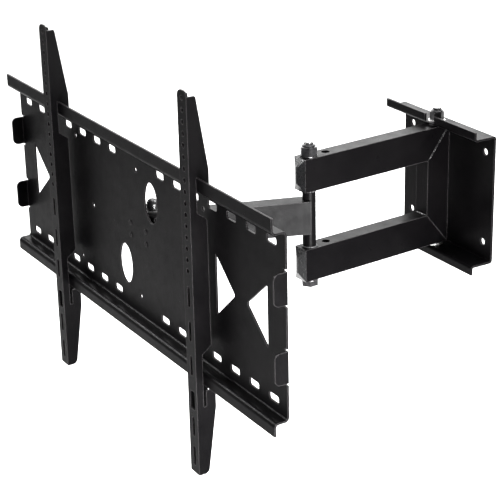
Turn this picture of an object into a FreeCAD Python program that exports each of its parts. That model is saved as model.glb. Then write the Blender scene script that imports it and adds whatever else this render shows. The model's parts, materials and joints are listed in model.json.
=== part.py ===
"""Full motion television wall mount: wall plate, fork arm, forearm, swivel head, plate and brackets.

World frame in millimetres: +X to the right along the wall, +Y into the wall, +Z up.
The origin is the centre of the wall plate's back face, where it lies on the wall.
"""
import FreeCAD, Part
import math
import os
import Sketcher

App = FreeCAD
V = App.Vector
UP = V(0, 0, 1)

# ------------------------------------------------------------------ driving dimensions
DIMENSIONS = {
    # wall plate, a channel of sheet steel with lips turned outwards
    "wall_plate_width": 210, "wall_plate_height": 192, "wall_sheet": 3,
    "wall_flange_depth": 38, "wall_lip": 11, "wall_bend": 1.5,
    "wall_hole_spacing_across": 171, "wall_hole_spacing_up": 136, "wall_hole_radius": 5,
    "pivot_from_wall": 24.4, "lip_notch": 21,
    # steel tube of the arms
    "tube_height": 48, "tube_width": 25, "tube_wall": 2.5, "post_width": 40,
    "post_ahead": 6.5,
    "arm_level": 1.5, "arm_gap": 84, "arm_length": 232.6, "arm_overhang": 15.5, "arm_angle": 274.3,
    "cable_hole_radius": 6, "cable_hole_back": 29,
    "cap_rise": 6, "cap_plug": 4, "cap_play": 0.1, "cap_tip_across": 0.12, "cap_tip_up": 0.5,
    "forearm_level": 5, "forearm_length": 218, "forearm_angle": 250.7,
    # pivots
    "bolt_radius": 6, "bolt_hole_radius": 6.2, "bolt_head_across": 22, "bolt_head_height": 8,
    "bolt_nut_height": 12.5, "bolt_thread_past_nut": 5.5,
    "wall_bolt_across": 18, "wall_head_height": 8,
    "washer_radius": 12, "washer_thick": 2, "washer_hole_radius": 6.3, "thrust_washer_thick": 3,
    "sleeve_radius": 9.5, "sleeve_bore": 7.2, "bush_radius": 7.2, "bush_bore": 6.05,
    "bush_flange_radius": 11, "bush_flange_thick": 1.2, "bush_length": 16, "running_gap": 0.3,
    "pan_bolt_radius": 5, "pan_bush_bore": 5.05, "pan_hole_radius": 5.2, "pan_head_across": 16,
    "pan_head_height": 6.4, "cap_nut_radius": 8.3, "cap_nut_base": 7.5, "pan_washer_radius": 13.5,
    # swivel head
    "yoke_sheet": 2.5, "yoke_half_width": 28.7, "yoke_web_gap": 11.5, "yoke_rear": 8,
    "yoke_corner": 3, "ear_corner": 4, "ear_round": 14,
    "stud_radius": 4, "stud_hole_radius": 4.05, "stud_length": 20, "tilt_nut_across": 13,
    "tilt_nut_height": 8, "tilt_washer_radius": 9, "ear_sheet": 3, "ear_half_height": 22,
    "ear_inside": 31, "ear_rear": 9, "ear_base_sheet": 2.5, "ear_base_half_height": 15,
    "rivet_radius": 2.4, "rivet_head_radius": 3.6, "rivet_head_height": 0.9,
    "rivet_half_spacing_across": 22, "rivet_half_spacing_up": 9,
    # television plate, sheet steel with hooked edges
    "plate_width": 752, "plate_height": 246, "plate_sheet": 2.5, "plate_level": 4,
    "pan_to_plate_front": 24, "plate_step": 19, "plate_bend": 4,
    "top_lip": 19, "bottom_lip": 15.6,
    "slot_pitch": 46, "slot_length": 22, "slot_width": 10, "slot_corner": 3, "slot_row_height": 103,
    "eye_across": 41, "eye_up": 56, "eye_half_width": 18.5, "eye_half_height": 29,
    "window_inner": 211, "window_outer": 334, "window_inner_tip": 258, "window_outer_tip": 285,
    "window_half_height": 42, "window_corner": 1.2, "window_tip": 4, "small_hole_radius": 3.5,
    "small_hole_up": 92, "small_hole_across": 137, "corner_hole_across": 184,
    "tab_depth": 17, "tab_height": 42, "tab_level": 51, "tab_corner": 8, "tab_relief": 3,
    # television brackets
    "bracket_spacing": 400, "bracket_offset": -7, "bracket_sheet": 2,
    "bracket_front": 30, "bracket_face_width": 22.5, "bracket_top": 253, "bracket_bottom": -268,
    "flange_top": 246, "hole_pitch": 15, "hole_radius": 3.25, "hole_top": 243, "hole_count": 16,
    "long_slot": 28, "long_slot_pitch": 48, "long_slot_top": -17, "window_level": -162,
    "window_tall": 26, "window_across": 12, "low_slot_level": -200, "low_slot_pitch": 43,
    "hook_clearance": 0.7, "hook_seat_gap": 0.3, "hook_nose": 16.5, "hook_depth": 28.3,
    "flange_top_depth": 13, "flange_middle_depth": 24, "flange_bottom_depth": 15,
    "neck_level": 96, "neck_blend": 10, "prong_drop": 9, "slit_depth": 22.5,
}

doc = App.newDocument("tv_wall_mount")
sheet = doc.addObject("Spreadsheet::Sheet", "dims")
for row, (alias, number) in enumerate(DIMENSIONS.items(), start=1):
    sheet.set("A%d" % row, alias)
    sheet.set("B%d" % row, str(number))
    sheet.setAlias("B%d" % row, alias)
doc.recompute()


class Sizes:
    """The spreadsheet's cells read by alias, as plain numbers."""

    def __getattr__(self, alias):
        return float(sheet.get(alias))


d = Sizes()
NODES = []

# ------------------------------------------------------------------ places worked out from the dimensions
PIVOT = V(0, -d.pivot_from_wall, 0)
ARM = App.Placement(PIVOT, App.Rotation(UP, d.arm_angle))
ELBOW = ARM.multVec(V(d.arm_length, 0, 0))
FOREARM = App.Placement(ELBOW, App.Rotation(UP, d.forearm_angle))
PAN = FOREARM.multVec(V(d.forearm_length, 0, 0))
HEAD = App.Placement(V(PAN.x, PAN.y, d.forearm_level), App.Rotation())
PLATE = App.Placement(V(PAN.x, PAN.y - d.pan_to_plate_front, d.plate_level), App.Rotation())
WALL = App.Placement()

ARM_TOP = d.arm_level + d.arm_gap / 2 + d.tube_height
ARM_BOTTOM = d.arm_level - d.arm_gap / 2 - d.tube_height
GAP_TOP = d.arm_level + d.arm_gap / 2
GAP_BOTTOM = d.arm_level - d.arm_gap / 2
SEAT = d.bush_flange_thick + d.running_gap


# ------------------------------------------------------------------ helpers: primitives with bound sizes
def bind(obj, **sizes):
    """Bind properties to spreadsheet expressions, given as text without the sheet's name."""
    for prop, text in sizes.items():
        words = text.split(" ")
        bound = ["dims." + word if word in DIMENSIONS else word for word in words]
        obj.setExpression(prop, " ".join(bound))


def box(name, at, **sizes):
    """A Part::Box at a corner, with Length, Width and Height given as expressions."""
    obj = doc.addObject("Part::Box", name)
    bind(obj, **sizes)
    obj.Placement = App.Placement(V(*at), App.Rotation())
    return obj


def rod(name, at, axis=UP, **sizes):
    """A Part::Cylinder from a point along an axis, with Radius and Height given as expressions."""
    obj = doc.addObject("Part::Cylinder", name)
    bind(obj, **sizes)
    obj.Placement = App.Placement(V(*at), App.Rotation(UP, V(*axis)))
    return obj


def hexagon(name, at, across, height, axis=UP):
    """A hexagonal bolt head or nut, across flats."""
    obj = doc.addObject("Part::Prism", name)
    obj.Polygon = 6
    bind(obj, Circumradius=across + " / 1.7320508", Height=height)
    obj.Placement = App.Placement(V(*at), App.Rotation(UP, V(*axis)))
    return obj


def fuse(name, *parts):
    obj = doc.addObject("Part::MultiFuse", name)
    obj.Shapes = list(parts)
    return obj


def cut(name, base, *tools):
    """The base with each tool taken out of it in turn."""
    whole = base
    for number, tool in enumerate(tools):
        last = number == len(tools) - 1
        step = doc.addObject("Part::Cut", name if last else "%s_cut_%d" % (name, number))
        step.Base = whole
        step.Tool = tool
        whole = step
    return whole


def group(name, *parts):
    """Separate solids of identical pieces, kept together as one node."""
    obj = doc.addObject("Part::Compound", name)
    obj.Links = list(parts)
    return obj


def node(label, obj, placement=WALL):
    """Name a finished sub-part and put it in its place."""
    obj.Label = label
    obj.Placement = placement.multiply(obj.Placement)
    NODES.append(obj)
    return obj


def ring(name, at, outer, inner, height, axis=UP):
    """A washer or plain sleeve: a rod with a bore."""
    body = rod(name + "_outer", at, axis, Radius=outer, Height=height)
    bore = rod(name + "_bore", at, axis, Radius=inner, Height=height)
    return cut(name, body, bore)


# ------------------------------------------------------------------ helpers: sketches and features
def new_body(label):
    body = doc.addObject("PartDesign::Body", label)
    body.Label = label
    return body


def sketch_on(body, name, role, offset=0.0):
    """A sketch on one of the body's own origin planes, moved along the plane's normal."""
    sketch = body.newObject("Sketcher::SketchObject", name)
    plane = [item for item in body.Origin.OriginFeatures if item.Role == role][0]
    sketch.AttachmentSupport = [(plane, "")]
    sketch.MapMode = "FlatFace"
    sketch.AttachmentOffset = App.Placement(V(0, 0, offset), App.Rotation())
    return sketch


def outline(sketch, corners):
    """A closed outline through corners (x, y, radius); a radius above zero rounds that corner."""
    count = len(corners)
    entries = []
    for index in range(count):
        before = V(*corners[index - 1][:2], 0)
        corner = V(*corners[index][:2], 0)
        after = V(*corners[(index + 1) % count][:2], 0)
        radius = corners[index][2]
        if radius <= 0:
            entries.append((corner, None, corner))
            continue
        way_in = (before - corner).normalize()
        way_out = (after - corner).normalize()
        half = way_in.getAngle(way_out) / 2
        reach = radius / math.tan(half)
        middle = corner + (way_in + way_out).normalize() * (radius / math.sin(half))
        nearest = middle + (corner - middle).normalize() * radius
        entries.append((corner + way_in * reach, nearest, corner + way_out * reach))
    for index in range(count):
        start, middle, end = entries[index]
        if middle is not None:
            sketch.addGeometry(Part.Arc(start, middle, end))
        following = entries[(index + 1) % count][0]
        if (following - end).Length > 1e-6:
            sketch.addGeometry(Part.LineSegment(end, following))


def slot(sketch, x, y, length, width, upright=False):
    """A slot with round ends, centred on a point."""
    half, r = length / 2, width / 2 - 1e-4
    across, up = (width / 2, half) if upright else (half, width / 2)
    outline(sketch, [(x - across, y - up, r), (x + across, y - up, r),
                     (x + across, y + up, r), (x - across, y + up, r)])


def circle(sketch, x, y, radius):
    sketch.addGeometry(Part.Circle(V(x, y, 0), UP, radius))


def extrude(body, kind, sketch, length, backwards=False):
    """A Pad or Pocket from a sketch, with its length bound to the sheet."""
    feature = body.newObject("PartDesign::" + kind, sketch.Name + "_" + kind.lower())
    feature.Profile = sketch
    bind(feature, Length=length)
    feature.Reversed = backwards
    sketch.Visibility = False
    return feature


def strip(centre_line, sheet_thickness, bend):
    """The closed outline of a bent sheet, from its middle line: one side out, the other side back."""
    points = [V(x, y, 0) for x, y in centre_line]
    last = len(points) - 1
    sides = ([], [])
    for index, point in enumerate(points):
        way_in = (point - points[index - 1]).normalize() if index > 0 else None
        way_out = (points[index + 1] - point).normalize() if index < last else None
        ahead = way_out if way_in is None else way_in
        left = V(-ahead.y, ahead.x, 0)
        if way_in is None or way_out is None:
            shift, turn = left, 0
        else:
            left_out = V(-way_out.y, way_out.x, 0)
            shift = (left + left_out) * (1 / (1 + left.dot(left_out)))
            turn = way_in.x * way_out.y - way_in.y * way_out.x
        for side, sign in ((0, 1), (1, -1)):
            place = point + shift * (sign * sheet_thickness / 2)
            inside = turn * sign > 0
            radius = 0 if turn == 0 else (bend if inside else bend + sheet_thickness)
            sides[side].append((place.x, place.y, radius))
    return sides[0] + sides[1][::-1]


# ------------------------------------------------------------------ wall side: plate, pivot bolt and nut
def make_wall_plate():
    body = new_body("wall_plate")
    half, middle = d.wall_plate_height / 2, d.wall_sheet / 2
    front = -d.wall_flange_depth + middle
    edge = half - middle
    tip = half + d.wall_lip
    line = [(front, tip), (front, edge), (-middle, edge),
            (-middle, -edge), (front, -edge), (front, -tip)]
    profile = sketch_on(body, "wall_profile", "YZ_Plane", -d.wall_plate_width / 2)
    outline(profile, strip(line, d.wall_sheet, d.wall_bend))
    extrude(body, "Pad", profile, "wall_plate_width")
    holes = sketch_on(body, "wall_screw_holes", "XZ_Plane", d.wall_sheet * 2)
    for x in (-1, 1):
        for z in (-1, 1):
            circle(holes, x * d.wall_hole_spacing_across / 2, z * d.wall_hole_spacing_up / 2,
                   d.wall_hole_radius)
    extrude(body, "Pocket", holes, "wall_sheet * 3")
    pivots = sketch_on(body, "wall_pivot_holes", "XY_Plane", half + d.wall_sheet)
    circle(pivots, PIVOT.x, PIVOT.y, d.bolt_hole_radius)
    extrude(body, "Pocket", pivots, "wall_plate_height + wall_sheet * 2")
    notch = sketch_on(body, "wall_lip_notch", "XY_Plane", tip)
    side, outer = d.lip_notch / 2, -d.wall_flange_depth
    outline(notch, [(-side, outer - 1, 0), (side, outer - 1, 0),
                    (side, outer + d.wall_sheet + d.wall_bend, 0),
                    (-side, outer + d.wall_sheet + d.wall_bend, 0)])
    extrude(body, "Pocket", notch, "wall_lip")
    node("wall_plate", body)


def make_wall_pivot():
    """Bolt from below, its low head behind the lower lip, with the nut on top."""
    top, bottom = d.wall_plate_height / 2, -d.wall_plate_height / 2
    x, y = PIVOT.x, PIVOT.y
    nut_at = top + d.washer_thick
    shank = rod("wall_bolt_shank", (x, y, bottom), Radius="bolt_radius",
                Height="wall_plate_height + washer_thick + bolt_nut_height + bolt_thread_past_nut")
    head = hexagon("wall_bolt_head", (x, y, bottom - d.wall_head_height), "wall_bolt_across",
                   "wall_head_height")
    node("wall_pivot_bolt", fuse("wall_pivot_bolt", shank, head))
    nut = hexagon("wall_nut_hex", (x, y, nut_at), "wall_bolt_across", "bolt_nut_height")
    bore = rod("wall_nut_bore", (x, y, nut_at), Radius="bolt_radius", Height="bolt_nut_height")
    node("wall_pivot_nut", cut("wall_pivot_nut", nut, bore))
    washers = [
        ring("wall_washer_nut", (x, y, top), "washer_radius", "washer_hole_radius", "washer_thick"),
        ring("wall_washer_thrust", (x, y, bottom + d.wall_sheet), "washer_radius",
             "washer_hole_radius", "thrust_washer_thick"),
    ]
    node("wall_pivot_washers", group("wall_pivot_washers", *washers))


# ------------------------------------------------------------------ arm: welded fork of mitred tubes
def tube_body(label, outer, hollow, holes):
    """A tube cut from its side outline: solid pad, hollow pocket, then bored from above."""
    body = new_body(label)
    side = sketch_on(body, label + "_side", "XZ_Plane", -d.tube_width / 2)
    outline(side, outer)
    extrude(body, "Pad", side, "tube_width")
    inside = sketch_on(body, label + "_hollow", "XZ_Plane", d.tube_width / 2 - d.tube_wall)
    outline(inside, hollow)
    extrude(body, "Pocket", inside, "tube_width - tube_wall * 2")
    for number, (x, radius, top, depth) in enumerate(holes):
        bore = sketch_on(body, "%s_hole_%d" % (label, number), "XY_Plane", top)
        circle(bore, x, 0, radius)
        extrude(body, "Pocket", bore, depth)
    return body


def make_arm_tubes():
    back, reach = d.post_width / 2, d.arm_length + d.arm_overhang
    shift = d.post_ahead
    wall, past = d.tube_wall, d.tube_wall * 2
    slope = d.tube_height / d.post_width
    for label, side in (("upper_arm_tube", 1), ("lower_arm_tube", -1)):
        inner = d.arm_level + side * d.arm_gap / 2
        outer = inner + side * d.tube_height
        body_outline = [(shift - back, outer, 0), (reach, outer, 0), (reach, inner, 0),
                        (shift + back, inner, 0)]
        far = outer - side * wall
        near = inner + side * wall
        mitre_far = shift - back + (wall - past * slope) / slope
        mitre_near = shift + back - (wall + past * slope) / slope
        hollow = [(mitre_far, far, 0), (reach + past, far, 0), (reach + past, near, 0),
                  (mitre_near, near, 0)]
        top = max(outer, inner)
        holes = [(0, d.sleeve_radius, max(outer, far), "tube_wall"),
                 (d.arm_length, d.bolt_hole_radius, top, "tube_height"),
                 (d.arm_length - d.cable_hole_back, d.cable_hole_radius, top, "tube_wall")]
        node(label, tube_body(label, body_outline, hollow, holes), ARM)
    hollow_half = back - wall
    post = [(shift - back, ARM_TOP, 0), (shift + back, GAP_TOP, 0), (shift + back, GAP_BOTTOM, 0),
            (shift - back, ARM_BOTTOM, 0)]
    lift = hollow_half * slope
    middle_top = (ARM_TOP + GAP_TOP) / 2
    middle_bottom = (ARM_BOTTOM + GAP_BOTTOM) / 2
    near, far = shift + hollow_half, shift - hollow_half
    inside = [(far, middle_top + lift, 0), (near, middle_top - lift, 0),
              (near, middle_bottom + lift, 0), (far, middle_bottom - lift, 0)]
    node("arm_post", tube_body("arm_post", post, inside, []), ARM)


def make_arm_fittings():
    sleeve = ring("arm_pivot_sleeve", (0, 0, ARM_BOTTOM), "sleeve_radius", "sleeve_bore",
                  "tube_height * 2 + arm_gap")
    node("arm_pivot_sleeve", sleeve, ARM)
    node("wall_pivot_bushes", bush_pair("wall_bush", ARM_TOP, ARM_BOTTOM, "bush_bore"), ARM)
    reach = d.arm_length + d.arm_overhang
    for label, side in (("upper_arm_cap", 1), ("lower_arm_cap", -1)):
        level = d.arm_level + side * (d.arm_gap + d.tube_height) / 2
        node(label, end_cap(label, reach, level), ARM)


def bush_pair(name, top, bottom, bore):
    """Two flanged bushes, pushed into a sleeve from its top and bottom ends."""
    bushes = []
    for number, (level, way) in enumerate(((top, -1), (bottom, 1))):
        label = "%s_%d" % (name, number)
        axis = (0, 0, way)
        barrel = rod(label + "_barrel", (0, 0, level), axis, Radius="bush_radius", Height="bush_length")
        flange = rod(label + "_flange", (0, 0, level), (0, 0, -way), Radius="bush_flange_radius",
                     Height="bush_flange_thick")
        through = rod(label + "_through", (0, 0, level - way * d.bush_flange_thick), axis,
                      Radius=bore, Height="bush_length + bush_flange_thick")
        bushes.append(cut(label, fuse(label + "_solid", barrel, flange), through))
    return group(name + "es", *bushes)


def end_cap(label, reach, level):
    """A moulded plug for the open end of a tube, with a low pyramid outside."""
    pyramid = doc.addObject("Part::Wedge", label + "_pyramid")
    half_width, half_height = d.tube_width / 2, d.tube_height / 2
    pyramid.Xmin, pyramid.Xmax = -half_width, half_width
    pyramid.Zmin, pyramid.Zmax = -half_height, half_height
    pyramid.Ymin = 0
    bind(pyramid, Ymax="cap_rise")
    pyramid.X2min, pyramid.X2max = -half_width * d.cap_tip_across, half_width * d.cap_tip_across
    pyramid.Z2min, pyramid.Z2max = -half_height * d.cap_tip_up, half_height * d.cap_tip_up
    pyramid.Placement = App.Placement(V(reach, 0, level), App.Rotation(UP, -90))
    inner_height = half_height - d.tube_wall - d.cap_play
    inner_width = half_width - d.tube_wall - d.cap_play
    plug = box(label + "_plug", (reach - d.cap_plug, -inner_width, level - inner_height),
               Length="cap_plug", Width="tube_width - tube_wall * 2 - cap_play * 2",
               Height="tube_height - tube_wall * 2 - cap_play * 2")
    return fuse(label, pyramid, plug)


def make_elbow_hardware():
    x = d.arm_length
    head_at = ARM_BOTTOM - d.washer_thick
    nut_at = ARM_TOP + d.washer_thick
    shank = rod("elbow_shank", (x, 0, head_at), Radius="bolt_radius",
                Height="tube_height * 2 + arm_gap + washer_thick * 2 + bolt_nut_height"
                       " + bolt_thread_past_nut")
    head = hexagon("elbow_head", (x, 0, head_at), "bolt_head_across", "bolt_head_height", (0, 0, -1))
    node("elbow_bolt", fuse("elbow_bolt", shank, head), ARM)
    nut = hexagon("elbow_nut_hex", (x, 0, nut_at), "bolt_head_across", "bolt_nut_height")
    bore = rod("elbow_nut_bore", (x, 0, nut_at), Radius="bolt_radius", Height="bolt_nut_height")
    node("elbow_nut", cut("elbow_nut", nut, bore), ARM)
    washers = [ring("elbow_washer_%d" % number, (x, 0, level), "washer_radius", "washer_hole_radius",
                    "washer_thick")
               for number, level in enumerate((ARM_TOP, ARM_BOTTOM - d.washer_thick))]
    node("elbow_washers", group("elbow_washers", *washers), ARM)
    spacers = [ring("elbow_spacer_%d" % number, (x, 0, level + d.tube_wall), "washer_radius - 2",
                    "washer_hole_radius", "tube_height - tube_wall * 2")
               for number, level in enumerate((GAP_TOP, ARM_BOTTOM))]
    node("elbow_spacers", group("elbow_spacers", *spacers), ARM)


# ------------------------------------------------------------------ forearm: tube between two sleeves
def make_forearm():
    low = d.forearm_level - d.tube_height / 2
    high = d.forearm_level + d.tube_height / 2
    top, bottom = high - d.tube_wall, low + d.tube_wall
    reach = d.forearm_length
    solid = [(0, low, 0), (reach, low, 0), (reach, high, 0), (0, high, 0)]
    hollow = [(-1, bottom, 0), (reach + 1, bottom, 0), (reach + 1, top, 0), (-1, top, 0)]
    holes = [(0, d.sleeve_radius, high, "tube_height"), (reach, d.sleeve_radius, high, "tube_height")]
    node("forearm_tube", tube_body("forearm_tube", solid, hollow, holes), FOREARM)
    elbow_low = GAP_BOTTOM + SEAT
    elbow_high = GAP_TOP - SEAT
    elbow = ring("elbow_sleeve", (0, 0, elbow_low), "sleeve_radius", "sleeve_bore",
                 "arm_gap - bush_flange_thick * 2 - running_gap * 2")
    node("elbow_sleeve", elbow, FOREARM)
    node("elbow_bushes", bush_pair("elbow_bush", elbow_high, elbow_low, "bush_bore"), FOREARM)
    far_end = FOREARM.multiply(App.Placement(V(reach, 0, 0), App.Rotation()))
    pan = ring("pan_sleeve", (0, 0, low), "sleeve_radius", "sleeve_bore", "tube_height")
    node("pan_sleeve", pan, far_end)
    node("pan_bushes", bush_pair("pan_bush", high, low, "pan_bush_bore"), far_end)


# ------------------------------------------------------------------ swivel head
def make_yoke():
    """A folded box, open at the back, that turns about the forearm's far sleeve."""
    inner_half = d.tube_height / 2 + SEAT
    wide, sheet_t = d.yoke_half_width, d.yoke_sheet
    front = -(d.yoke_web_gap + sheet_t)
    body = new_body("swivel_yoke")
    rear = d.yoke_rear
    tall = inner_half + sheet_t
    plan = sketch_on(body, "yoke_side", "YZ_Plane", -wide)
    outline(plan, [(front, -tall, d.yoke_corner), (rear, -tall, 0), (rear, tall, 0),
                   (front, tall, d.yoke_corner)])
    extrude(body, "Pad", plan, "yoke_half_width * 2")
    inside = sketch_on(body, "yoke_inside", "YZ_Plane", wide - sheet_t)
    outline(inside, [(front + sheet_t, -inner_half, 0), (rear + sheet_t, -inner_half, 0),
                     (rear + sheet_t, inner_half, 0), (front + sheet_t, inner_half, 0)])
    extrude(body, "Pocket", inside, "yoke_half_width * 2 - yoke_sheet * 2")
    pan = sketch_on(body, "yoke_pan_holes", "XY_Plane", tall)
    circle(pan, 0, 0, d.pan_hole_radius)
    extrude(body, "Pocket", pan, "tube_height + bush_flange_thick * 2 + running_gap * 2 + yoke_sheet * 2")
    tilt = sketch_on(body, "yoke_stud_holes", "YZ_Plane", wide)
    circle(tilt, 0, 0, d.stud_radius)
    extrude(body, "Pocket", tilt, "yoke_half_width * 2")
    node("swivel_yoke", body, HEAD)


def make_pan_hardware():
    inner_half = d.tube_height / 2 + SEAT
    outer = inner_half + d.yoke_sheet
    head_at = -outer - d.washer_thick
    nut_at = outer + d.washer_thick
    shank = rod("pan_shank", (0, 0, head_at), Radius="pan_bolt_radius",
                Height="tube_height + bush_flange_thick * 2 + running_gap * 2 + yoke_sheet * 2"
                       " + washer_thick * 2 + cap_nut_base")
    head = hexagon("pan_head", (0, 0, head_at), "pan_head_across", "pan_head_height", (0, 0, -1))
    node("pan_bolt", fuse("pan_bolt", shank, head), HEAD)
    skirt = rod("cap_nut_skirt", (0, 0, nut_at), Radius="cap_nut_radius", Height="cap_nut_base")
    dome = doc.addObject("Part::Sphere", "cap_nut_dome")
    bind(dome, Radius="cap_nut_radius")
    dome.Angle1 = 0
    dome.Placement = App.Placement(V(0, 0, nut_at + d.cap_nut_base), App.Rotation())
    bore = rod("cap_nut_bore", (0, 0, nut_at), Radius="pan_bolt_radius", Height="cap_nut_base")
    node("pan_cap_nut", cut("pan_cap_nut", fuse("cap_nut_solid", skirt, dome), bore), HEAD)
    washers = [ring("pan_washer_%d" % number, (0, 0, level), "pan_washer_radius", "pan_hole_radius",
                    "washer_thick")
               for number, level in enumerate((outer, head_at))]
    node("pan_washers", group("pan_washers", *washers), HEAD)


def make_tilt_hardware():
    """Studs welded into the yoke's sides carry the plate's ears, with washers and lock nuts."""
    inside = d.yoke_half_width - d.yoke_sheet
    outside_ear = d.ear_inside + d.ear_sheet
    studs, nuts, outer_washers, friction_washers = [], [], [], []
    for name, side in (("left", -1), ("right", 1)):
        axis = (side, 0, 0)
        studs.append(rod("stud_" + name, (side * inside, 0, 0), axis, Radius="stud_radius",
                         Height="stud_length"))
        washer_at = side * (outside_ear + d.running_gap)
        outer_washers.append(ring("tilt_washer_" + name, (washer_at, 0, 0), "tilt_washer_radius",
                                  "stud_radius", "washer_thick", axis))
        nut_at = washer_at + side * d.washer_thick
        nut = hexagon("tilt_nut_hex_" + name, (nut_at, 0, 0), "tilt_nut_across", "tilt_nut_height", axis)
        bore = rod("tilt_nut_bore_" + name, (nut_at, 0, 0), axis, Radius="stud_radius",
                   Height="tilt_nut_height")
        nuts.append(cut("tilt_nut_" + name, nut, bore))
        friction_at = side * d.yoke_half_width
        friction_washers.append(ring("friction_washer_" + name, (friction_at, 0, 0),
                                     "tilt_washer_radius", "stud_radius",
                                     "ear_inside - yoke_half_width - running_gap", axis))
    node("tilt_studs", group("tilt_studs", *studs), HEAD)
    node("tilt_nuts", group("tilt_nuts", *nuts), HEAD)
    node("tilt_washers", group("tilt_washers", *outer_washers), HEAD)
    node("tilt_friction_washers", group("tilt_friction_washers", *friction_washers), HEAD)


def make_tilt_bracket():
    """A folded bracket riveted behind the plate, whose two ears turn on the yoke's studs."""
    body = new_body("tilt_bracket")
    back_of_plate = -(d.pan_to_plate_front - d.plate_sheet)
    for name, start in (("left", -d.ear_inside - d.ear_sheet), ("right", d.ear_inside)):
        ear = sketch_on(body, "ear_" + name, "YZ_Plane", start)
        tall, corner, rounding = d.ear_half_height, d.ear_corner, d.ear_round
        outline(ear, [(back_of_plate, -tall, corner), (d.ear_rear, -tall, rounding),
                      (d.ear_rear, tall, rounding), (back_of_plate, tall, corner)])
        extrude(body, "Pad", ear, "ear_sheet")
        if name == "left":
            base = sketch_on(body, "ear_base", "XZ_Plane", -back_of_plate - d.ear_base_sheet)
            half_width = d.ear_inside + d.ear_sheet
            half_height = d.ear_base_half_height
            outline(base, [(-half_width, -half_height, 0), (half_width, -half_height, 0),
                           (half_width, half_height, 0), (-half_width, half_height, 0)])
            extrude(body, "Pad", base, "ear_base_sheet")
    pins = sketch_on(body, "ear_stud_holes", "YZ_Plane", d.ear_inside + d.ear_sheet * 2)
    circle(pins, 0, 0, d.stud_hole_radius)
    extrude(body, "Pocket", pins, "ear_inside * 2 + ear_sheet * 4")
    rivet_holes = sketch_on(body, "ear_rivet_holes", "XZ_Plane", -back_of_plate)
    for x, z in rivet_places():
        circle(rivet_holes, x, z, d.rivet_radius)
    extrude(body, "Pocket", rivet_holes, "ear_base_sheet")
    node("tilt_bracket", body, HEAD)
    rivets = []
    for number, (x, z) in enumerate(rivet_places()):
        label = "rivet_%d" % number
        shank_at = back_of_plate + d.ear_base_sheet
        shank = rod(label + "_shank", (x, shank_at, z), (0, -1, 0), Radius="rivet_radius",
                    Height="ear_base_sheet + plate_sheet")
        head = rod(label + "_head", (x, -d.pan_to_plate_front, z), (0, -1, 0),
                   Radius="rivet_head_radius", Height="rivet_head_height")
        rivets.append(fuse(label, shank, head))
    node("tilt_bracket_rivets", group("tilt_bracket_rivets", *rivets), HEAD)


def rivet_places():
    return [(x * d.rivet_half_spacing_across, z * d.rivet_half_spacing_up)
            for x in (-1, 1) for z in (-1, 1)]


# ------------------------------------------------------------------ television plate
def make_tv_plate():
    body = new_body("tv_plate")
    half, sheet_t = d.plate_height / 2, d.plate_sheet
    back, front = sheet_t / 2, -d.plate_step + sheet_t / 2
    edge = half - sheet_t / 2
    line = [(front, half + d.top_lip), (front, edge), (back, edge),
            (back, -edge), (front, -edge), (front, -half - d.bottom_lip)]
    profile = sketch_on(body, "plate_profile", "YZ_Plane", -d.plate_width / 2)
    outline(profile, strip(line, sheet_t, d.plate_bend))
    extrude(body, "Pad", profile, "plate_width")
    openings = sketch_on(body, "plate_openings", "XZ_Plane", sheet_t)
    for column in range(3, 16, 2):
        for side in (-1, 1):
            for row in (-1, 1):
                x, z, r = side * column * d.slot_pitch / 2, row * d.slot_row_height, d.slot_corner
                along, up = d.slot_length / 2, d.slot_width / 2
                outline(openings, [(x - along, z - up, r), (x + along, z - up, r),
                                   (x + along, z + up, r), (x - along, z + up, r)])
    for side in (-1, 1):
        eye = Part.Ellipse(V(0, 0, 0), d.eye_half_height, d.eye_half_width)
        eye.rotate(App.Placement(V(0, 0, 0), UP, 90))
        eye.translate(V(side * d.eye_across, side * d.eye_up, 0))
        openings.addGeometry(eye)
        for edge_at, tip_at in ((d.window_inner, d.window_inner_tip),
                                (d.window_outer, d.window_outer_tip)):
            tall, r = d.window_half_height, d.window_corner
            outline(openings, [(side * edge_at, -tall, r), (side * tip_at, 0, d.window_tip),
                               (side * edge_at, tall, r)])
    for side in (-1, 1):
        circle(openings, side * d.small_hole_across, 0, d.small_hole_radius)
        for x in (-d.corner_hole_across, 0, d.corner_hole_across):
            circle(openings, x, side * d.small_hole_up, d.small_hole_radius)
    lift = d.forearm_level - d.plate_level
    for x, z in rivet_places():
        circle(openings, x, z + lift, d.rivet_radius)
    extrude(body, "Pocket", openings, "plate_sheet * 3")
    for side_name, side in (("left", -1), ("right", 1)):
        for row in (-1, 1):
            name = "%s_%s" % (side_name, "upper" if row > 0 else "lower")
            start = -d.plate_width / 2 if side < 0 else d.plate_width / 2 - sheet_t
            tab = sketch_on(body, "tab_" + name, "YZ_Plane", start)
            low = row * d.tab_level - d.tab_height / 2
            high = row * d.tab_level + d.tab_height / 2
            outline(tab, [(sheet_t, low, 0), (-d.tab_depth, low, d.tab_corner),
                          (-d.tab_depth, high, d.tab_corner), (sheet_t, high, 0)])
            extrude(body, "Pad", tab, "plate_sheet")
            relief = sketch_on(body, "relief_" + name, "XZ_Plane", sheet_t)
            for level in (low, high):
                outer = side * (d.plate_width / 2 + 1)
                inner = side * (d.plate_width / 2 - d.tab_relief * 2)
                shift = d.tab_relief / 2 if level == high else -d.tab_relief / 2
                z = level + shift
                outline(relief, [(inner, z - d.tab_relief / 2, 1), (outer, z - d.tab_relief / 2, 0),
                                 (outer, z + d.tab_relief / 2, 0), (inner, z + d.tab_relief / 2, 1)])
            extrude(body, "Pocket", relief, "plate_sheet * 3")
    node("tv_plate", body, PLATE)


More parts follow.
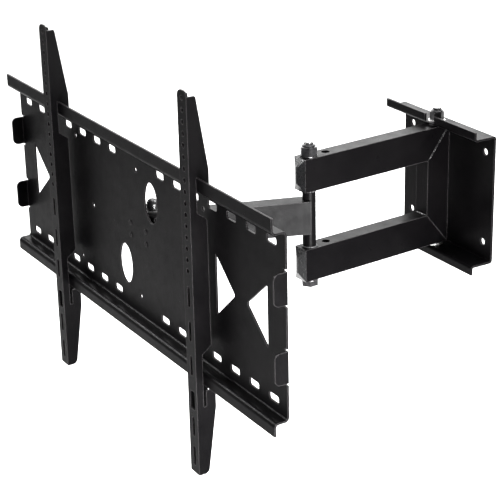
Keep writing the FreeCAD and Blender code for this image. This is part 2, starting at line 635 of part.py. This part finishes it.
# ------------------------------------------------------------------ television brackets
def flange_corners():
    """Side view of a bracket's flange: hook over the top lip, slit for the bottom lip."""
    half = d.plate_height / 2
    front = -d.bracket_front
    lip_front = -d.plate_step
    neck = lip_front - d.hook_clearance
    nose = lip_front + d.plate_sheet + d.hook_clearance
    seat = half + d.top_lip + d.hook_seat_gap
    hook = front + d.hook_depth
    middle = front + d.flange_middle_depth
    prong_top = -half - d.bottom_lip - d.prong_drop
    slit_end = prong_top - d.slit_depth
    blend = d.neck_level - d.neck_blend
    return [
        (front, d.flange_top, 0), (front + d.flange_top_depth, d.flange_top, 3),
        (hook, seat + 8, 12), (hook, seat - d.hook_nose, 3), (nose, seat - d.hook_nose, 2),
        (nose, seat, 0.6), (neck, seat, 0.6), (neck, d.neck_level, 5),
        (middle, blend, 5), (middle, -blend, 5),
        (neck, -d.neck_level, 5), (neck, slit_end, 1.2),
        (nose, slit_end, 1.2), (nose, prong_top, 2), (hook, prong_top, 4), (hook, slit_end - 4, 16),
        (front + d.flange_bottom_depth, d.bracket_bottom, 8), (front, d.bracket_bottom, 0),
    ]


def make_bracket(label, at):
    """A channel folded from one strip: a pierced face and two hooked flanges."""
    body = new_body(label)
    half = d.bracket_face_width / 2
    face = sketch_on(body, label + "_face", "XZ_Plane", d.bracket_front - d.bracket_sheet)
    outline(face, [(-half, d.bracket_bottom, 4), (half, d.bracket_bottom, 4),
                   (half, d.bracket_top, 9), (-half, d.bracket_top, 9)])
    extrude(body, "Pad", face, "bracket_sheet")
    for side, start in (("right", half - d.bracket_sheet), ("left", -half)):
        flange = sketch_on(body, "%s_%s_flange" % (label, side), "YZ_Plane", start)
        outline(flange, flange_corners())
        extrude(body, "Pad", flange, "bracket_sheet")
    holes = sketch_on(body, label + "_holes", "XZ_Plane", d.bracket_front + 1)
    for number in range(int(d.hole_count)):
        circle(holes, 0, d.hole_top - number * d.hole_pitch, d.hole_radius)
    width = d.hole_radius * 2
    for number in range(3):
        slot(holes, 0, d.long_slot_top - number * d.long_slot_pitch, d.long_slot, width, upright=True)
    for number in range(2):
        slot(holes, 0, d.low_slot_level - number * d.low_slot_pitch, d.long_slot, width, upright=True)
    wide, tall = d.window_across / 2, d.window_tall / 2
    outline(holes, [(-wide, d.window_level - tall, 1.5), (wide, d.window_level - tall, 1.5),
                    (wide, d.window_level + tall, 1.5), (-wide, d.window_level + tall, 1.5)])
    extrude(body, "Pocket", holes, "bracket_sheet + 2")
    node(label, body, PLATE.multiply(App.Placement(V(at, 0, 0), App.Rotation())))


make_wall_plate()
make_wall_pivot()
make_arm_tubes()
make_arm_fittings()
make_elbow_hardware()
make_forearm()
make_yoke()
make_pan_hardware()
make_tilt_hardware()
make_tilt_bracket()
make_tv_plate()
make_bracket("left_tv_bracket", d.bracket_offset - d.bracket_spacing / 2)
make_bracket("right_tv_bracket", d.bracket_offset + d.bracket_spacing / 2)

# ------------------------------------------------------------------ checks and export
doc.recompute()
for obj in doc.Objects:
    bad = [state for state in obj.State if state in ("Invalid", "Error")]
    if bad:
        raise RuntimeError("%s is %s" % (obj.Label, bad))
os.makedirs("parts", exist_ok=True)
for obj in NODES:
    shape = obj.Shape
    if shape.isNull() or not shape.isValid() or shape.Volume <= 0:
        raise RuntimeError("%s has no valid solid" % obj.Label)
for obj in NODES:
    obj.Shape.exportStep(os.path.join("parts", obj.Label + ".step"))
    print("%-24s %d solid(s) %10.1f mm3" % (obj.Label, len(obj.Shape.Solids), obj.Shape.Volume))
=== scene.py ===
"""Looks of the television wall mount: black powder-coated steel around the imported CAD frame."""
import json
import math

import bmesh
import bpy
from mathutils import Matrix, Vector


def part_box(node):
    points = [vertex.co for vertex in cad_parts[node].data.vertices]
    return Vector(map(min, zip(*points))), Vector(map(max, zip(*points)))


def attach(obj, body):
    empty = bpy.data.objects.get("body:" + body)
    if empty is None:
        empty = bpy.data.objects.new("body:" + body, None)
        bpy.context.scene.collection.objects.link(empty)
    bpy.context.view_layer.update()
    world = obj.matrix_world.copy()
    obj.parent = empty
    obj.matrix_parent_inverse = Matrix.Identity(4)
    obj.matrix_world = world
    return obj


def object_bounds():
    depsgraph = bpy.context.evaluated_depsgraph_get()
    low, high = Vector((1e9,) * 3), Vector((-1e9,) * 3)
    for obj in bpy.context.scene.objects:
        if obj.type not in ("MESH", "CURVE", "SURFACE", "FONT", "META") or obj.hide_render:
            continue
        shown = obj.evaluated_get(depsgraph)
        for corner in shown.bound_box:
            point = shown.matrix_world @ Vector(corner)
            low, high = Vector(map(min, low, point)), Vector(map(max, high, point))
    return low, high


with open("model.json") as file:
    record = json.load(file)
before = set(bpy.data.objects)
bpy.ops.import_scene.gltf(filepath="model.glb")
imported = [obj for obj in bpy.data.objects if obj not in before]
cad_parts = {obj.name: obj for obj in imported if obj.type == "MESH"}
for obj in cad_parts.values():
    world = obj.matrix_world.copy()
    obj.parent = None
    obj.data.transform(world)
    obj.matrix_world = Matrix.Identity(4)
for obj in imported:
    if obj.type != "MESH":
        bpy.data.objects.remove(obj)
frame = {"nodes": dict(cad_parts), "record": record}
CAD_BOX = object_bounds()
NODES = frame["nodes"]

MM = 0.001
ARM_HALF_WIDTH = 12.5 * MM
SLEEVE_RADIUS = 9.45 * MM
MITRE_AHEAD = 26.5 * MM
MITRE_BEHIND = -13.5 * MM
THREAD_PITCH = 1.5 * MM
THREAD_ROOT = 6.02 * MM
THREAD_CREST = 6.45 * MM
AXIS_HOLE = 0.5 * MM

CAMERA_AZIMUTH, CAMERA_ELEVATION, CAMERA_ROLL = 59.3, 21.6, -1.3
CAMERA_TARGET = Vector((-0.1562, -0.250, -0.1055))
CAMERA_DISTANCE = 2.4725
CAMERA_LENS = 118.8
FLOOR_DROP = 0.35
FLOOR_HALF = 14


# ------------------------------------------------------------------ node helpers
class Shade:
    """One material's node tree, built with short calls."""

    def __init__(self, name):
        self.material = bpy.data.materials.new(name)
        self.material.use_nodes = True
        self.tree = self.material.node_tree
        self.tree.nodes.clear()
        self.surface = self.add("ShaderNodeBsdfPrincipled")
        output = self.add("ShaderNodeOutputMaterial")
        self.link(self.surface.outputs["BSDF"], output.inputs["Surface"])
        self.place = self.add("ShaderNodeTexCoord").outputs["Object"]

    def add(self, kind, **settings):
        made = self.tree.nodes.new(kind)
        for key, value in settings.items():
            setattr(made, key, value)
        return made

    def link(self, source, target):
        self.tree.links.new(source, target)

    def noise(self, scale, detail=4.0, roughness=0.5, stretch=None):
        place = self.place
        if stretch is not None:
            mapping = self.add("ShaderNodeMapping")
            mapping.inputs["Scale"].default_value = stretch
            self.link(place, mapping.inputs["Vector"])
            place = mapping.outputs["Vector"]
        made = self.add("ShaderNodeTexNoise")
        made.inputs["Scale"].default_value = scale
        made.inputs["Detail"].default_value = detail
        made.inputs["Roughness"].default_value = roughness
        self.link(place, made.inputs["Vector"])
        return made.outputs["Fac"]

    def ramp(self, value, *stops):
        """A colour ramp; each stop is (position, grey) or (position, (r, g, b))."""
        made = self.add("ShaderNodeValToRGB")
        band = made.color_ramp
        while len(band.elements) < len(stops):
            band.elements.new(0.5)
        for element, (position, colour) in zip(band.elements, stops):
            element.position = position
            rgb = (colour,) * 3 if isinstance(colour, (int, float)) else colour
            element.color = (*rgb, 1.0)
        self.link(value, made.inputs["Fac"])
        return made.outputs["Color"]

    def mix(self, factor, first, second, blend="MIX"):
        made = self.add("ShaderNodeMix", data_type="RGBA", blend_type=blend)
        for socket, value in (("Factor", factor), ("A", first), ("B", second)):
            target = [item for item in made.inputs if item.name == socket and item.enabled][0]
            if isinstance(value, bpy.types.NodeSocket):
                self.link(value, target)
            elif socket == "Factor":
                target.default_value = value
            else:
                target.default_value = (*value, 1.0)
        return [item for item in made.outputs if item.enabled][0]

    def bump(self, height, strength, distance):
        made = self.add("ShaderNodeBump")
        made.inputs["Strength"].default_value = strength
        made.inputs["Distance"].default_value = distance
        self.link(height, made.inputs["Height"])
        return made.outputs["Normal"]

    def edge_wear_and_highlight(self, radius):
        """Nearly 1 on sharp convex edges and 0 on flat faces: the mask for bare worn zinc edges, and for
        the painted highlight on powder-coat edges.
        """
        bevel = self.add("ShaderNodeBevel", samples=4)
        bevel.inputs["Radius"].default_value = radius
        geometry = self.add("ShaderNodeNewGeometry")
        dot = self.add("ShaderNodeVectorMath", operation="DOT_PRODUCT")
        self.link(bevel.outputs["Normal"], dot.inputs[0])
        self.link(geometry.outputs["Normal"], dot.inputs[1])
        return self.ramp(dot.outputs["Value"], (0.80, 1.0), (0.97, 0.0))


def powder_coat():
    """Satin black powder coat: orange peel, fine flecks and a painted highlight, a paler colour on the
    edges.
    """
    s = Shade("black_powder_coat")
    dark, light = (0.0012, 0.0011, 0.0013), (0.0026, 0.0024, 0.0026)
    clouds = s.ramp(s.noise(11.0, 4.0, 0.6), (0.3, dark), (0.7, light))
    fleck = s.ramp(s.noise(1900.0, 2.0), (0.68, 0.0), (0.76, 1.0))
    flecked = s.mix(fleck, clouds, (0.008, 0.0078, 0.0085))
    # painted highlight: a paler colour on every sharp convex edge
    painted_edge_highlight = s.mix(s.edge_wear_and_highlight(0.0019), flecked, (0.034, 0.032, 0.033))
    s.link(painted_edge_highlight, s.surface.inputs["Base Color"])
    patches = s.ramp(s.noise(60.0, 5.0, 0.65), (0.3, 0.27), (0.7, 0.41))
    s.link(patches, s.surface.inputs["Roughness"])
    s.surface.inputs["Specular IOR Level"].default_value = 0.022
    peel = s.bump(s.noise(620.0, 3.0, 0.55), 0.30, 0.0005)
    s.link(peel, s.surface.inputs["Normal"])
    return s.material


def zinc(name, dark):
    """Zinc plate, bright or black: lightly scratched, with a mottled passivation film."""
    s = Shade(name)
    if dark:
        low, high, bare = (0.012, 0.012, 0.013), (0.04, 0.039, 0.041), (0.16, 0.155, 0.15)
    else:
        low, high, bare = (0.40, 0.40, 0.41), (0.70, 0.69, 0.67), (0.86, 0.86, 0.85)
    film = s.ramp(s.noise(160.0, 6.0, 0.6), (0.3, low), (0.7, high))
    s.link(s.mix(s.edge_wear_and_highlight(0.0006), film, bare), s.surface.inputs["Base Color"])
    s.surface.inputs["Metallic"].default_value = 0.7 if dark else 1.0
    rough = s.ramp(s.noise(420.0, 4.0, 0.6, (1, 1, 6)), (0.3, 0.22), (0.7, 0.42))
    s.link(rough, s.surface.inputs["Roughness"])
    s.link(s.bump(s.noise(1400.0, 3.0, 0.6, (1, 1, 8)), 0.15, 0.0003), s.surface.inputs["Normal"])
    return s.material


def weld_metal():
    """A painted weld bead: ripples show through the coat."""
    s = Shade("painted_weld")
    s.link(s.ramp(s.noise(240.0, 4.0), (0.3, (0.004, 0.004, 0.0042)), (0.7, (0.013, 0.0125, 0.013))),
           s.surface.inputs["Base Color"])
    s.link(s.ramp(s.noise(300.0, 4.0), (0.3, 0.2), (0.7, 0.36)), s.surface.inputs["Roughness"])
    s.link(s.bump(s.noise(500.0, 4.0, 0.6), 0.5, 0.0008), s.surface.inputs["Normal"])
    return s.material


def moulded(name, base_low, base_high, low, high):
    """Moulded plastic with a fine spark-eroded grain."""
    s = Shade(name)
    s.link(s.ramp(s.noise(40.0, 4.0), (0.3, base_low), (0.7, base_high)), s.surface.inputs["Base Color"])
    s.link(s.ramp(s.noise(700.0, 3.0), (0.35, low), (0.65, high)), s.surface.inputs["Roughness"])
    s.link(s.bump(s.noise(2200.0, 2.0), 0.25, 0.0003), s.surface.inputs["Normal"])
    return s.material


FINISH = {
    "black_powder_coat": powder_coat(),
    "black_zinc": zinc("black_zinc", True),
    "bright_zinc": zinc("bright_zinc", False),
    "nylon": moulded("nylon", (0.03, 0.03, 0.031), (0.05, 0.05, 0.052), 0.5, 0.62),
    "black_plastic": moulded("black_plastic", (0.0035, 0.0035, 0.0038), (0.007, 0.007, 0.0075),
                             0.22, 0.36),
}
WELD = weld_metal()


# ------------------------------------------------------------------ finishes of the CAD nodes
def soften(obj, width):
    """Round the sharp edges a little, as sheet edges and tube corners are under a coat."""
    bevel = obj.modifiers.new("soft_edges", "BEVEL")
    bevel.width = width
    bevel.segments = 3
    bevel.limit_method = "ANGLE"
    bevel.angle_limit = math.radians(35)
    bevel.harden_normals = True


# widths in millimetres
SOFT_EDGE = {"wall_plate": 0.7, "tv_plate": 0.6, "left_tv_bracket": 0.45, "right_tv_bracket": 0.45,
             "upper_arm_tube": 1.6, "lower_arm_tube": 1.6, "arm_post": 1.6, "forearm_tube": 1.6,
             "upper_arm_cap": 0.9, "lower_arm_cap": 0.9, "swivel_yoke": 0.5, "tilt_bracket": 0.5,
             "elbow_nut": 0.5, "pan_cap_nut": 0.4, "wall_pivot_nut": 0.5,
             "elbow_bolt": 0.4, "wall_pivot_bolt": 0.4}

slots = {row["node"]: row["material_slot"] for row in frame["record"]["subparts"]}
for node_name, obj in NODES.items():
    obj.data.materials.clear()
    obj.data.materials.append(FINISH[slots[node_name]])
    if node_name in SOFT_EDGE:
        soften(obj, SOFT_EDGE[node_name] * MM)


# ------------------------------------------------------------------ pieces built here
def new_piece(name, bm, material, body):
    """A finished mesh, smooth but for its sharp edges, riding on a CAD body."""
    mesh = bpy.data.meshes.new(name)
    bmesh.ops.recalc_face_normals(bm, faces=bm.faces)
    bm.to_mesh(mesh)
    bm.free()
    for polygon in mesh.polygons:
        polygon.use_smooth = True
    mesh.set_sharp_from_angle(angle=math.radians(40))
    mesh.materials.append(material)
    piece = bpy.data.objects.new(name, mesh)
    bpy.context.collection.objects.link(piece)
    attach(piece, body)


def turns(sides):
    """The angles of a ring's corners."""
    return [2 * math.pi * k / sides for k in range(sides)]


def skin(bm, rings):
    """Faces from ring to ring, and one over each end."""
    sides = len(rings[0])
    for low, high in zip(rings, rings[1:]):
        for k in range(sides):
            bm.faces.new((low[k], low[(k + 1) % sides], high[(k + 1) % sides], high[k]))
    bm.faces.new(rings[0])
    bm.faces.new(rings[-1])


def lathe(name, profile, at, body, sides=48):
    """A turned piece of black zinc about a vertical axis, its profile given as radius and height."""
    bm = bmesh.new()
    rings = [[bm.verts.new((at[0] + radius * math.cos(turn), at[1] + radius * math.sin(turn),
                            at[2] + height)) for turn in turns(sides)]
             for radius, height in profile]
    skin(bm, rings)
    new_piece(name, bm, FINISH["black_zinc"], body)


def weld_bead(bm, start, end, radius):
    """A straight rippled bead, thinner towards its ends."""
    ripple, taper_length, sides = 0.9 * MM, 4 * MM, 10
    length = (end - start).length
    count = max(4, int(length / ripple))
    ahead = (end - start).normalized()
    across = ahead.cross(Vector((0.31, 0.17, 0.94))).normalized()
    over = ahead.cross(across)
    rings = []
    for index in range(count + 1):
        along = length * index / count
        taper = min(1, 0.35 + along / taper_length, 0.35 + (length - along) / taper_length)
        swell = radius * taper * (1 + 0.16 * math.sin(index * 1.9) + 0.07 * math.sin(index * 0.43))
        centre = start.lerp(end, min(1, along / length))
        rings.append([bm.verts.new(centre + (across * math.cos(turn) + over * math.sin(turn)) * swell)
                      for turn in turns(sides)])
    skin(bm, rings)


def make_threads(name, at, low, high, body):
    """The threaded end of an M12 bolt: ridges over the plain shank, with a chamfered tip."""
    length, chamfer, proud = high - low, 0.9 * MM, 0.3 * MM
    profile = [(AXIS_HOLE, 0), (THREAD_ROOT, 0)]
    height = 0.0
    while height + THREAD_PITCH < length - 0.6 * MM:
        profile += [(THREAD_CREST, height + THREAD_PITCH * 0.45),
                    (THREAD_CREST, height + THREAD_PITCH * 0.6),
                    (THREAD_ROOT, height + THREAD_PITCH)]
        height += THREAD_PITCH
    profile += [(THREAD_ROOT, length - 0.5 * MM), (THREAD_ROOT - chamfer, length + proud),
                (AXIS_HOLE, length + proud)]
    lathe(name, profile, (at[0], at[1], low), body)


def make_nut_details(prefix, nut, bolt, body):
    """A nylon insert collar on a lock nut, and the bolt's thread beyond it."""
    low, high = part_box(nut)
    at = [(a + b) / 2 for a, b in zip(low, high)]
    top, tip = high[2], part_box(bolt)[1][2]
    collar = [(6.3 * MM, -0.2 * MM), (8.8 * MM, -0.2 * MM), (8.8 * MM, 1.2 * MM), (8.5 * MM, 2.0 * MM),
              (7.7 * MM, 2.5 * MM), (6.9 * MM, 2.5 * MM), (6.5 * MM, 2.1 * MM), (6.3 * MM, 1.6 * MM)]
    lathe(prefix + "_nut_collar", collar, (at[0], at[1], top), body)
    make_threads(prefix + "_bolt_thread", at, top, tip, body)


def link_directions(first, second):
    """Two joints' places on the floor plan, and the level ways ahead from one to the other and aside."""
    places = {row["name"]: row.get("pos_m") for row in frame["record"]["behaviour"]["joints"]}
    start, end = Vector((*places[first][:2], 0)), Vector((*places[second][:2], 0))
    ahead = (end - start).normalized()
    return start, end, ahead, Vector((-ahead.y, ahead.x, 0))


def make_fork_welds():
    """Beads on the fork: the upper mitre on both sides, and across both inner corners."""
    pivot, _, ahead, side = link_directions("wall_swing", "elbow")
    bottom, top = (corner[2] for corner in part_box("upper_arm_tube"))
    bm = bmesh.new()
    for way in (1, -1):
        base = pivot + side * (ARM_HALF_WIDTH * way)
        start = base + ahead * (MITRE_AHEAD - 3 * MM) + Vector((0, 0, bottom + 3 * MM))
        end = base + ahead * (MITRE_BEHIND + 4 * MM) + Vector((0, 0, top - 4 * MM))
        weld_bead(bm, start, end, 1.5 * MM)
    for level in (bottom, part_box("lower_arm_tube")[1][2]):
        corner = pivot + ahead * MITRE_AHEAD + Vector((0, 0, level))
        reach = side * (ARM_HALF_WIDTH * 0.9)
        weld_bead(bm, corner + reach, corner - reach, 1.6 * MM)
    new_piece("fork_welds", bm, WELD, "arm")


def make_forearm_welds():
    """Upright beads where the forearm tube meets its two sleeves."""
    elbow, pan, ahead, side = link_directions("elbow", "pan")
    bottom, top = (corner[2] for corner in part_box("forearm_tube"))
    bm = bmesh.new()
    for centre, way in ((elbow, 1), (pan, -1)):
        for hand in (1, -1):
            foot = centre + side * (hand * SLEEVE_RADIUS) + ahead * (way * 0.6 * MM)
            start = foot + Vector((0, 0, bottom + 2 * MM))
            end = foot + Vector((0, 0, top - 2 * MM))
            weld_bead(bm, start, end, 1.1 * MM)
    new_piece("forearm_welds", bm, WELD, "forearm")


make_nut_details("elbow", "elbow_nut", "elbow_bolt", "arm")
make_nut_details("wall", "wall_pivot_nut", "wall_pivot_bolt", "wall")
make_fork_welds()
make_forearm_welds()


# ------------------------------------------------------------------ camera, floor and lights
def place_camera():
    azimuth, elevation, roll = (math.radians(angle)
                                for angle in (CAMERA_AZIMUTH, CAMERA_ELEVATION, CAMERA_ROLL))
    back = Vector((math.sin(azimuth) * math.cos(elevation), -math.cos(azimuth) * math.cos(elevation),
                   math.sin(elevation)))
    right = Vector((math.cos(azimuth), math.sin(azimuth), 0))
    up = back.cross(right)
    right_rolled = right * math.cos(roll) + up * math.sin(roll)
    up_rolled = up * math.cos(roll) - right * math.sin(roll)
    camera = bpy.data.objects.new("camera", bpy.data.cameras.new("camera"))
    bpy.context.collection.objects.link(camera)
    turn = Matrix((right_rolled, up_rolled, back)).transposed().to_4x4()
    camera.matrix_world = Matrix.Translation(CAMERA_TARGET + back * CAMERA_DISTANCE) @ turn
    camera.data.sensor_width = 36
    camera.data.lens = CAMERA_LENS
    camera.data.clip_end = 50
    bpy.context.scene.camera = camera


def place_floor():
    """A pale sweep of studio paper, well below the mount."""
    shade = Shade("studio_paper")
    paper = shade.ramp(shade.noise(3.0, 3.0), (0.3, 0.90), (0.7, 0.92))
    shade.link(paper, shade.surface.inputs["Base Color"])
    shade.surface.inputs["Roughness"].default_value = 1.0
    shade.surface.inputs["Specular IOR Level"].default_value = 0.0
    level = CAD_BOX[0][2] - FLOOR_DROP
    corners = [(x * FLOOR_HALF, y * FLOOR_HALF, level) for x, y in ((-1, -1), (1, -1), (1, 1), (-1, 1))]
    mesh = bpy.data.meshes.new("studio_floor")
    mesh.from_pydata(corners, [], [(0, 1, 2, 3)])
    floor = bpy.data.objects.new("studio_floor", mesh)
    bpy.context.collection.objects.link(floor)
    floor.data.materials.append(shade.material)


def softbox(name, place, aim, size, radiance, spread=180):
    """A rectangular lamp turned to its aim, or facing straight down when its aim is a turn in degrees."""
    light = bpy.data.lights.new(name, "AREA")
    light.shape = "RECTANGLE"
    light.size, light.size_y = size
    light.energy = radiance * math.pi * size[0] * size[1]
    light.spread = math.radians(spread)
    lamp = bpy.data.objects.new(name, light)
    lamp.location = place
    if isinstance(aim, tuple):
        lamp.rotation_euler = (Vector(aim) - Vector(place)).to_track_quat("-Z", "Y").to_euler()
    else:
        lamp.rotation_euler = (0, 0, math.radians(aim))
    bpy.context.collection.objects.link(lamp)


def place_lights():
    world = bpy.data.worlds.new("studio")
    world.use_nodes = True
    world.node_tree.nodes["Background"].inputs["Color"].default_value = (1, 1, 1, 1)
    world.node_tree.nodes["Background"].inputs["Strength"].default_value = 0.6
    bpy.context.scene.world = world
    bpy.context.scene.view_settings.view_transform = "Standard"
    middle, arm = (0, -0.25, 0), (0, -0.2, 0)
    softbox("paper_light", (-1.7, 0.65, 1.9), -30.7, (5.2, 1.9), 2.6, 100)
    softbox("back_sky", (-2.0, 1.0, 1.0), middle, (2.0, 1.0), 9)
    softbox("top_strip", (0.6, 0.8, 1.5), arm, (1.2, 0.16), 12, 60)
    softbox("left_strip", (-1.6, -1.1, 0.9), middle, (1.2, 0.1), 22, 60)
    softbox("front_strip", (0.58, -1.4, -0.2), middle, (0.10, 0.6), 10, 60)
    softbox("low_panel", (1.1, -0.45, -0.3), (0, -0.35, 0), (0.5, 0.45), 13, 60)
    softbox("back_strip", (-0.6, 0.9, -0.2), arm, (0.14, 0.7), 30)


place_camera()
place_floor()
place_lights()
